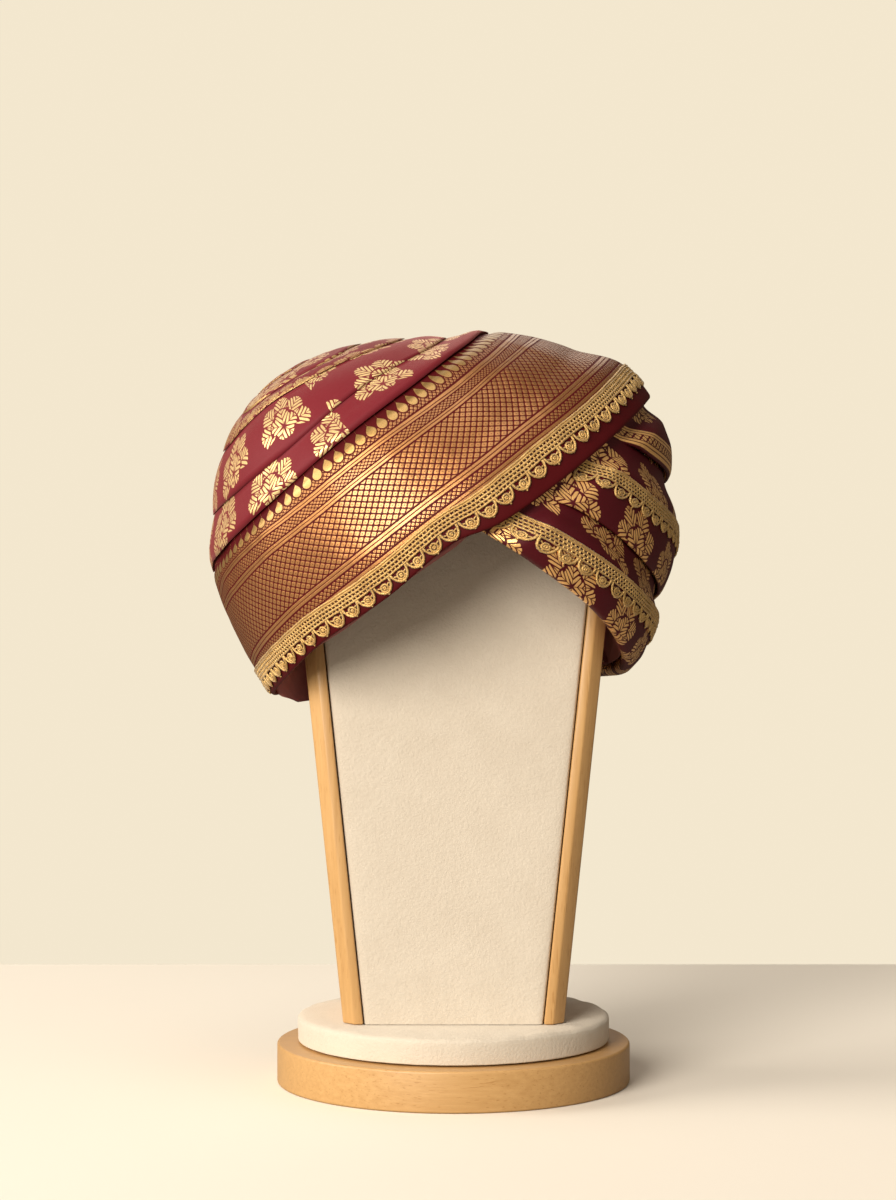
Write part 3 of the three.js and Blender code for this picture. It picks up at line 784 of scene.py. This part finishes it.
pleatRows = crownRows()
outerCount, rimCount = len(pleatRows), len(pleatRows) + crown["rimRows"]
crownCount = rimCount + crown["innerRows"] + 1
turns = [-360 * i / crown["columns"] for i in range(crown["columns"] + 1)]
rims = {turn: edgeLatitude(turn, aboveRim) for turn in turns}
bandTops = {turn: edgeLatitude(turn, aboveBand) for turn in turns}


def pleatEdge(pleat, longitude):
    if pleat < 0:
        return 90.0
    if pleat >= len(crown["pleats"]):
        return crown["foot"]
    if pleat == crown["overBand"]:
        return clamp(bandTops[longitude] - crown["overlap"], *crown["overRange"])
    turn = math.radians(longitude)
    sway = noise.noise(Vector((1.3 * math.cos(turn), 1.3 * math.sin(turn), pleat * 3.7)))
    edge = crown["pleats"][pleat] + crown["wobble"] * sway
    if pleat < len(crown["offCentre"]):
        far, towards = crown["offCentre"][pleat]
        edge += far * math.cos(turn - math.radians(towards))
    return edge


def crownPlace(u, row):
    longitude = turns[round(u * crown["columns"])]
    rim = rims[longitude]
    if row == outerCount:  # a seam: the rim starts where the outside ends
        row -= 1
    if row > outerCount:
        share = max(0, row - rimCount) / crown["innerRows"]
        inner = hollowPoint(onGlobe(crownGlobe, longitude, mix(rim, 90, share)))
        if row >= rimCount:
            return inner
        d = onGlobe(crownGlobe, longitude, rim)
        outer = domePoint(d, -dome["gap"])
        a = math.pi * (row - outerCount) / crown["rimRows"]
        hang = rowAt(crown["rimRoll"], bearing(d)[0])[0] * math.sin(a)
        return outer.lerp(inner, 0.5 - 0.5 * math.cos(a)) - Vector((0, 0, hang))
    pleat, share, fold = pleatRows[row]
    if fold < 0:  # starts where the fold above it ends
        pleat, share, fold = pleat - 1, 1.0, 1.0
    above, edge = pleatEdge(pleat - 1, longitude), pleatEdge(pleat, longitude)
    latitude = mix(above, edge, share)
    bandLongitude, bandLatitude = globeBearing(bandGlobe, onGlobe(crownGlobe, longitude, max(latitude, rim)))
    high = rowAt(band["rows"], bandLongitude)[1]
    bare = 1.0 if pleat <= crown["overBand"] else smooth(bandLatitude, high - 1, high + 4)
    turn = math.radians(longitude)
    puff = crown["puff"] * noise.noise(Vector((3 * math.cos(turn), 3 * math.sin(turn), pleat * 5.1 + share * 1.5)))
    relief = crown["relief"][pleat] if pleat < len(crown["relief"]) else 1.0
    lift = relief * (crown["height"] * math.sin(0.83 * math.pi * share ** 0.8) - crown["sunk"] + puff)
    if pleat == crown["overBand"]:
        lift += crown["raised"] * smooth(share, 0.3, 0.95) * smooth(bandTops[longitude], 31, 34.5)
    if fold > 0:
        latitude += bare * crown["tuck"] * (fold - 0.15)
        lift -= relief * crown["fold"] * math.sin(min(fold, 0.5) * math.pi)
        lift = mix(lift, -relief * 1.5, smooth(fold, 0.6, 1))
    return domePoint(onGlobe(crownGlobe, longitude, max(latitude, rim)), bare * lift - dome["gap"])


def crownFlat(u, row):  # each pleat shows its own part of the cloth
    if row >= outerCount:
        return 0.0, 0.0
    pleat, share, fold = pleatRows[row]
    edges = (90,) + crown["pleats"] + (crown["foot"],)
    above, edge = edges[pleat], edges[pleat + 1]
    middle = math.radians((above + edge) / 2)
    along = -360 * u * dome["degree"] * max(math.cos(middle), 0.2)
    down = (1 - share) * (above - edge) * dome["degree"] - fold * 4
    if pleat < len(crown["gather"]):
        along *= crown["gather"][pleat]
    turn = math.radians(crown["turns"][pleat])
    shiftAlong, shiftUp = crown["shifts"][pleat]
    x, y = along + shiftAlong, down - (above - edge) * dome["degree"] / 2
    return x * math.cos(turn) - y * math.sin(turn), x * math.sin(turn) + y * math.cos(turn) + shiftUp


topRows = sum(1 for row in pleatRows if row[0] < crown["gathered"])
bm = clothGrid(crown["columns"], crownCount - 1, crownPlace, crownFlat, topRows)
closeCloth(bm)
crownPiece = finishPiece("crown_cloth", bm, crownBrocade, "crown")
crownPiece.data.materials.append(gatheredBrocade)


# lace: threads laid out flat in mm (along, across, up), then bent onto the cloth
lace = {
    "pitch": 9.6, "shellWide": 4.25, "shellTip": 0.7, "shellTop": 6.2, "shellThread": 0.64,
    "discMiddle": 3.3, "discs": (1.75, 0.6), "discThread": 0.55,
    "spokes": (-1.9, -1.2, 1.2, 1.9, 0.0), "spokeReach": (1.5, 3.4), "spokeThread": 0.42,
    "cords": (12.7, 11.7, 10.0, 8.3, 6.6),  # distance of each long thread from the shells' tips
    "cordThread": 0.56, "bead": 0.24, "beadStep": 0.8,
    "bars": ((11.7, 10.0), (10.0, 8.3), (8.3, 6.6)), "barStep": 2.1, "barThread": 0.42,
    "above": 0.55, "shellAbove": 0.7, "fuzz": 0.16,
}


def thread(curve, points, radius, closed=False):
    spline = curve.splines.new("POLY")
    spline.points.add(len(points) - 1)
    spline.use_cyclic_u = closed
    for i, (point, (s, t, h)) in enumerate(zip(spline.points, points)):
        stray = [lace["fuzz"] * ripple(s * 0.9, t * 0.9, seed) for seed in (2.1, 7.4)]
        point.co = (s + stray[0], t + stray[1], h, 1)
        point.radius = radius * (1 + lace["bead"] * (i % 2 - 0.5))


# place(along, across, up) bends a point of the flat lace onto the cloth
def lacePiece(name, length, place, node):
    curve = bpy.data.curves.new(name, "CURVE")
    curve.dimensions = "3D"
    curve.bevel_depth = 1.0
    curve.bevel_resolution = 0
    shells = round(length / lace["pitch"])
    pitch = length / shells
    for n in range(shells):
        middle = (n + 0.5) * pitch + 0.5 * ripple(n * 0.9, 1.3, 5.0)
        tip = lace["shellTip"] + 0.8 * ripple(n * 0.7, 3.3, 5.0)
        raised = lace["shellAbove"]
        arch = []
        for i in range(15):
            a = math.pi * i / 14
            across = mix(lace["shellTop"], tip, math.sin(a))
            arch.append((middle + lace["shellWide"] * math.cos(a), across, raised))
        thread(curve, arch, lace["shellThread"])
        for reach in lace["discs"]:
            disc = []
            for i in range(8):
                a = math.pi * i / 4
                disc.append((middle + reach * math.sin(a), lace["discMiddle"] + reach * math.cos(a), raised))
            thread(curve, disc, lace["discThread"], True)
        for a in lace["spokes"]:
            lean = a + 0.25 * ripple(n * 0.8, a, 6.0)
            spoke = []
            for reach in lace["spokeReach"]:
                across = lace["discMiddle"] - reach * math.cos(lean)
                spoke.append((middle + reach * math.sin(lean), across, lace["above"]))
            thread(curve, spoke, lace["spokeThread"])
    steps = round(length / lace["beadStep"])
    for t in lace["cords"]:
        cord = []
        for i in range(steps + 1):
            s = length * i / steps
            cord.append((s, t + 0.3 * ripple(s * 0.1, 0.5, 8.0), lace["above"] + 0.12 * (i % 2)))
        thread(curve, cord, lace["cordThread"])
    for k, (top, low) in enumerate(lace["bars"]):
        for i in range(round(length / lace["barStep"])):
            s = (i + 0.5 * k + 0.25) * lace["barStep"]
            thread(curve, [(s, top, lace["above"]), (s + 0.3, low, lace["above"])], lace["barThread"])
    flat = addObject(name, curve)
    mesh = bpy.data.meshes.new_from_object(flat.evaluated_get(bpy.context.evaluated_depsgraph_get()))
    bpy.data.objects.remove(flat)
    bm = bmesh.new()
    bm.from_mesh(mesh)
    bpy.data.meshes.remove(mesh)
    for vert in bm.verts:
        vert.co = place(*vert.co) * mm
    bmesh.ops.recalc_face_normals(bm, faces=bm.faces)
    return finishPiece(name, bm, laceThread, node)


bandLace = {"from": -131, "to": 193}
bandLaceLength = (bandLace["to"] - bandLace["from"]) * dome["degree"]


def onBand(s, t, h):
    longitude = bandLace["from"] + s / dome["degree"]
    low, high, _, tip = rowAt(band["rows"], longitude)
    share = min((tip + t / dome["degree"]) / (high - low), 0.95)
    return bandPoint(longitude, share, 1.0, h)


lacePiece("front_lace_thread", bandLaceLength, onBand, "front_lace")
wrapLaces = {
    "lace_lower": {"wrap": "wrap_lower", "tip": (0.14, 0.45), "from": 0.05, "to": 0.97},
    "lace_upper": {"wrap": "wrap_upper", "tip": (0.29, 0.36), "from": 0.09, "to": 0.97},
}
for node, one in wrapLaces.items():
    wrap = wraps[one["wrap"]]
    length = (wrap["end"][0] - wrap["start"][0]) * (one["to"] - one["from"]) * dome["degree"] * 0.93

    def onWrap(s, t, h):
        u = mix(one["from"], one["to"], s / length)
        low, high = wrapRow(wrap, u, 0.4)[1:]
        width = (high - low) * dome["degree"]
        return wrapPoint(one["wrap"], u, mix(*one["tip"], smooth(u, -0.08, 0.56)) + t / width, 1.0, h)

    lacePiece(node + "_thread", length, onWrap, node)


# the stand
base = {
    "discRadius": 88.25, "discHeight": 20, "discEdge": 1.2, "discRings": 4,
    "padRadius": 79, "padHeight": 14, "gap": 0.4, "steps": 96,
}
padFoot = base["discHeight"] + base["gap"]
postFoot = padFoot + base["padHeight"] + base["gap"]


def turned(profile, steps):  # spins a profile of (radius, height) points in mm about Z
    bm = bmesh.new()
    verts = [bm.verts.new(Vector((radius, 0, height)) * mm) for radius, height in profile]
    edges = [bm.edges.new(pair) for pair in zip(verts, verts[1:])]
    bmesh.ops.spin(
        bm, geom=verts + edges, axis=(0, 0, 1), cent=(0, 0, 0), angle=math.tau, steps=steps, use_merge=True,
    )
    bmesh.ops.remove_doubles(bm, verts=bm.verts, dist=1e-6)
    bmesh.ops.recalc_face_normals(bm, faces=bm.faces)
    return bm


def roundedProfile(radius, low, high, lowEdge, highEdge, rings):
    quarter = [math.radians(15 * i) for i in range(7)]
    profile = [(radius * i / rings, low) for i in range(rings)]
    profile += [(radius - lowEdge + lowEdge * math.sin(a), low + lowEdge - lowEdge * math.cos(a)) for a in quarter]
    profile += [(radius - highEdge + highEdge * math.cos(a), high - highEdge + highEdge * math.sin(a)) for a in quarter]
    profile += [(radius * i / rings, high) for i in reversed(range(rings))]
    return profile


profile = roundedProfile(
    base["discRadius"], 0, base["discHeight"], base["discEdge"], base["discEdge"], base["discRings"],
)
finishPiece("base_disc_wood", turned(profile, base["steps"]), baseWood, "base_disc")

pad = {  # starts a little small, and swells
    "start": 0.6, "startUp": 0.2, "lowEdge": 0.8, "topEdge": 2.6, "rings": 16,
    "pressure": 4.0, "frames": 20, "mostMove": 0.7,
    "underPost": (60, 50), "clear": 0.3,  # half the width and depth that stay under the post
}
profile = roundedProfile(
    base["padRadius"] - pad["start"], padFoot + pad["startUp"], padFoot + base["padHeight"] - pad["start"],
    pad["lowEdge"], pad["topEdge"], pad["rings"],
)
bm = turned(profile, base["steps"])
basePad = finishPiece("base_pad_suede", bm, suede, "base_pad")


def inflate(piece):  # swells the pad as stuffed cloth, then keeps it on the disc and under the post
    scene = bpy.context.scene
    bpy.context.view_layer.objects.active = piece
    rest = [vert.co.copy() for vert in piece.data.vertices]
    cloth = piece.modifiers.new("stuffing", "CLOTH")
    cloth.settings.use_pressure = True
    cloth.settings.uniform_pressure_force = pad["pressure"]
    cloth.settings.effector_weights.gravity = 0
    for step in range(1, pad["frames"] + 1):
        scene.frame_set(step)
    bpy.ops.object.modifier_apply(modifier=cloth.name)
    scene.frame_set(1)
    for vert, start in zip(piece.data.vertices, rest):
        move = vert.co - start
        if move.length > pad["mostMove"] * mm:
            move *= pad["mostMove"] * mm / move.length
        vert.co = start + move
        vert.co.z = max(vert.co.z, padFoot * mm)
        if abs(vert.co.x) < pad["underPost"][0] * mm and abs(vert.co.y) < pad["underPost"][1] * mm:
            vert.co.z = min(vert.co.z, (postFoot - pad["clear"]) * mm)
    even = piece.modifiers.new("smooth cloth", "SUBSURF")
    even.levels = even.render_levels = 1
    for face in piece.data.polygons:
        face.use_smooth = True


inflate(basePad)
print("base pad filled")

# the post: a tapering padded board with a round top, between two wooden rails
post = {
    "halfWidth": 43.6, "flare": 0.1042, "halfDepth": 43, "shoulder": 212, "corner": 44,
    "gapToCrown": 5, "puff": 0.5, "cuts": (26, 20, 72),
}
postTop = hollow["centre"].z + hollow["top"] - post["gapToCrown"] - postFoot


def postWidth(z):
    wide = post["halfWidth"] + post["flare"] * min(z, post["shoulder"])
    over = max(0.0, z - post["shoulder"]) / (postTop - post["shoulder"])
    return wide * math.sqrt(max(0.0, 1 - over * over))


bm = bmesh.new()
bmesh.ops.create_cube(bm, size=2)
for axis, cuts in enumerate(post["cuts"]):
    lines = [edge for edge in bm.edges if abs(edge.verts[0].co[axis] - edge.verts[1].co[axis]) > 1.9]
    bmesh.ops.subdivide_edges(bm, edges=lines, cuts=cuts, use_grid_fill=True)
for vert in bm.verts:
    across, deep, tall = vert.co
    z = (1 - math.cos((tall + 1) * math.pi / 2)) / 2 * postTop
    width = postWidth(z)
    x = math.sin(across * math.pi / 2)
    y = math.sin(deep * math.pi / 2)
    squareness = (abs(x) ** post["corner"] + abs(y) ** post["corner"]) ** (1 / post["corner"])
    puff = post["puff"] * (1 - x ** 4) * (1 - (2 * z / postTop - 1) ** 8)
    depth = post["halfDepth"] + (puff if abs(y) > abs(x) else 0)
    vert.co = Vector((x / squareness * width, y / squareness * depth, z + postFoot)) * mm
bmesh.ops.remove_doubles(bm, verts=bm.verts, dist=1e-5)
bmesh.ops.recalc_face_normals(bm, faces=bm.faces)
postPanel = finishPiece("post_suede", bm, suede, "post_panel")

rail = {"width": 10.4, "chamfer": 5.6, "proud": 0.6, "soft": 0.7}
for name, side in (("rail_left", -1), ("rail_right", 1)):
    bm = bmesh.new()
    bmesh.ops.create_cube(bm, size=1)
    depth = 2 * (post["halfDepth"] + rail["proud"])
    middle = Vector((base["gap"] / 2 + rail["width"] / 2, 0, post["shoulder"] / 2))
    bmesh.ops.scale(bm, vec=Vector((rail["width"] - base["gap"], depth, post["shoulder"])) * mm, verts=bm.verts)
    bmesh.ops.translate(bm, vec=middle * mm, verts=bm.verts)
    upright = [edge for edge in bm.edges if abs(edge.verts[0].co.z - edge.verts[1].co.z) > 0.1]
    outer = [edge for edge in upright if all(vert.co.x > rail["width"] * 0.9 * mm for vert in edge.verts)]
    bmesh.ops.bevel(
        bm, geom=outer, offset=rail["chamfer"] * mm, affect="EDGES", segments=1, profile=0.5, material=-1,
    )
    bmesh.ops.bevel(
        bm, geom=list(bm.edges), offset=rail["soft"] * mm, affect="EDGES", segments=2, profile=0.5, material=-1,
    )
    for vert in bm.verts:
        vert.co.x = side * (vert.co.x + post["halfWidth"] * mm + post["flare"] * vert.co.z)
        vert.co.z += postFoot * mm
    bmesh.ops.recalc_face_normals(bm, faces=bm.faces)
    finishPiece(name + "_wood", bm, railWood, name)


# floor, light and camera
studio = {
    "cream": (0.90, 0.84, 0.75), "wall": (0.90, 0.80, 0.62), "air": (1.0, 0.80, 0.57), "airStrength": 0.13,
    "front": -4.0, "back": 0.394, "side": 4.0,
    "bounce": 0.4,  # the floor throws back less than it shows
    "aim": (0, 0, 0.25),  # what the lights point at
    "lights": {  # azimuth, elevation, distance, size, power, colour
        "key": (-29, 19, 6.0, 3.5, 480, (1.0, 0.93, 0.82)),
        "side": (-85, 22, 2.2, 1.4, 32, (1.0, 0.93, 0.82)),
        "fill": (60, 30, 2.0, 1.6, 4, (1.0, 0.93, 0.85)),
        "top": (-30, 75, 1.8, 1.2, 8, (1.0, 0.94, 0.86)),
        "back": (190, 32, 2.5, 2.0, 9, (1.0, 0.94, 0.86)),
    },
}
bm = bmesh.new()
bmesh.ops.create_grid(bm, x_segments=8, y_segments=8, size=1)
bmesh.ops.scale(bm, vec=(studio["side"], (studio["back"] - studio["front"]) / 2, 1), verts=bm.verts)
bmesh.ops.translate(bm, vec=(0, (studio["back"] + studio["front"]) / 2, 0), verts=bm.verts)
mesh = bpy.data.meshes.new("studio_floor")
bm.to_mesh(mesh)
bm.free()
floor = addObject("studio_floor", mesh)
paper, tree, shader = newMaterial("cream paper", Roughness=0.9)
shade = noiseAt(tree, objectSpace(tree), 3.0, 2.0)
cream = blendColour(tree, shade, studio["cream"], tuple(c * 1.03 for c in studio["cream"]))
seen = tree.nodes.new("ShaderNodeLightPath").outputs["Is Camera Ray"]
dimmed = tuple(c * studio["bounce"] for c in studio["cream"])
tree.links.new(blendColour(tree, seen, dimmed, cream), shader.inputs["Base Color"])
mesh.materials.append(paper)

aim = Vector(studio["aim"])
for name, (azimuth, elevation, away, size, power, colour) in studio["lights"].items():
    data = bpy.data.lights.new(name, "AREA")
    data.shape = "DISK"
    data.size = size
    data.energy = power
    data.color = colour
    light = addObject(name, data)
    light.location = aim + direction(azimuth, elevation) * away
    light.rotation_euler = (aim - light.location).to_track_quat("-Z", "Y").to_euler()

world = bpy.data.worlds.new("studio air")
world.use_nodes = True
tree = world.node_tree
air = tree.nodes["Background"]
air.inputs["Color"].default_value = (*studio["air"], 1)
air.inputs["Strength"].default_value = studio["airStrength"]
wall = tree.nodes.new("ShaderNodeBackground")  # what the camera sees behind the floor
wall.inputs["Color"].default_value = (*studio["wall"], 1)
seen = tree.nodes.new("ShaderNodeLightPath")
both = tree.nodes.new("ShaderNodeMixShader")
tree.links.new(seen.outputs["Is Camera Ray"], both.inputs[0])
tree.links.new(air.outputs[0], both.inputs[1])
tree.links.new(wall.outputs[0], both.inputs[2])
tree.links.new(both.outputs[0], tree.nodes["World Output"].inputs["Surface"])
bpy.context.scene.world = world
bpy.context.scene.view_settings.view_transform = "Standard"

photo = {"eye": (-2.75, -1450, 271), "down": 1.2, "lens": 87, "sensor": 36}
cameraData = bpy.data.cameras.new("photo camera")
cameraData.lens = photo["lens"]
cameraData.sensor_width = photo["sensor"]
cameraData.clip_end = 20
camera = addObject("photo camera", cameraData)
camera.location = Vector(photo["eye"]) * mm
camera.rotation_euler = (math.radians(90 - photo["down"]), 0, 0)
bpy.context.scene.camera = camera

print("scene done")
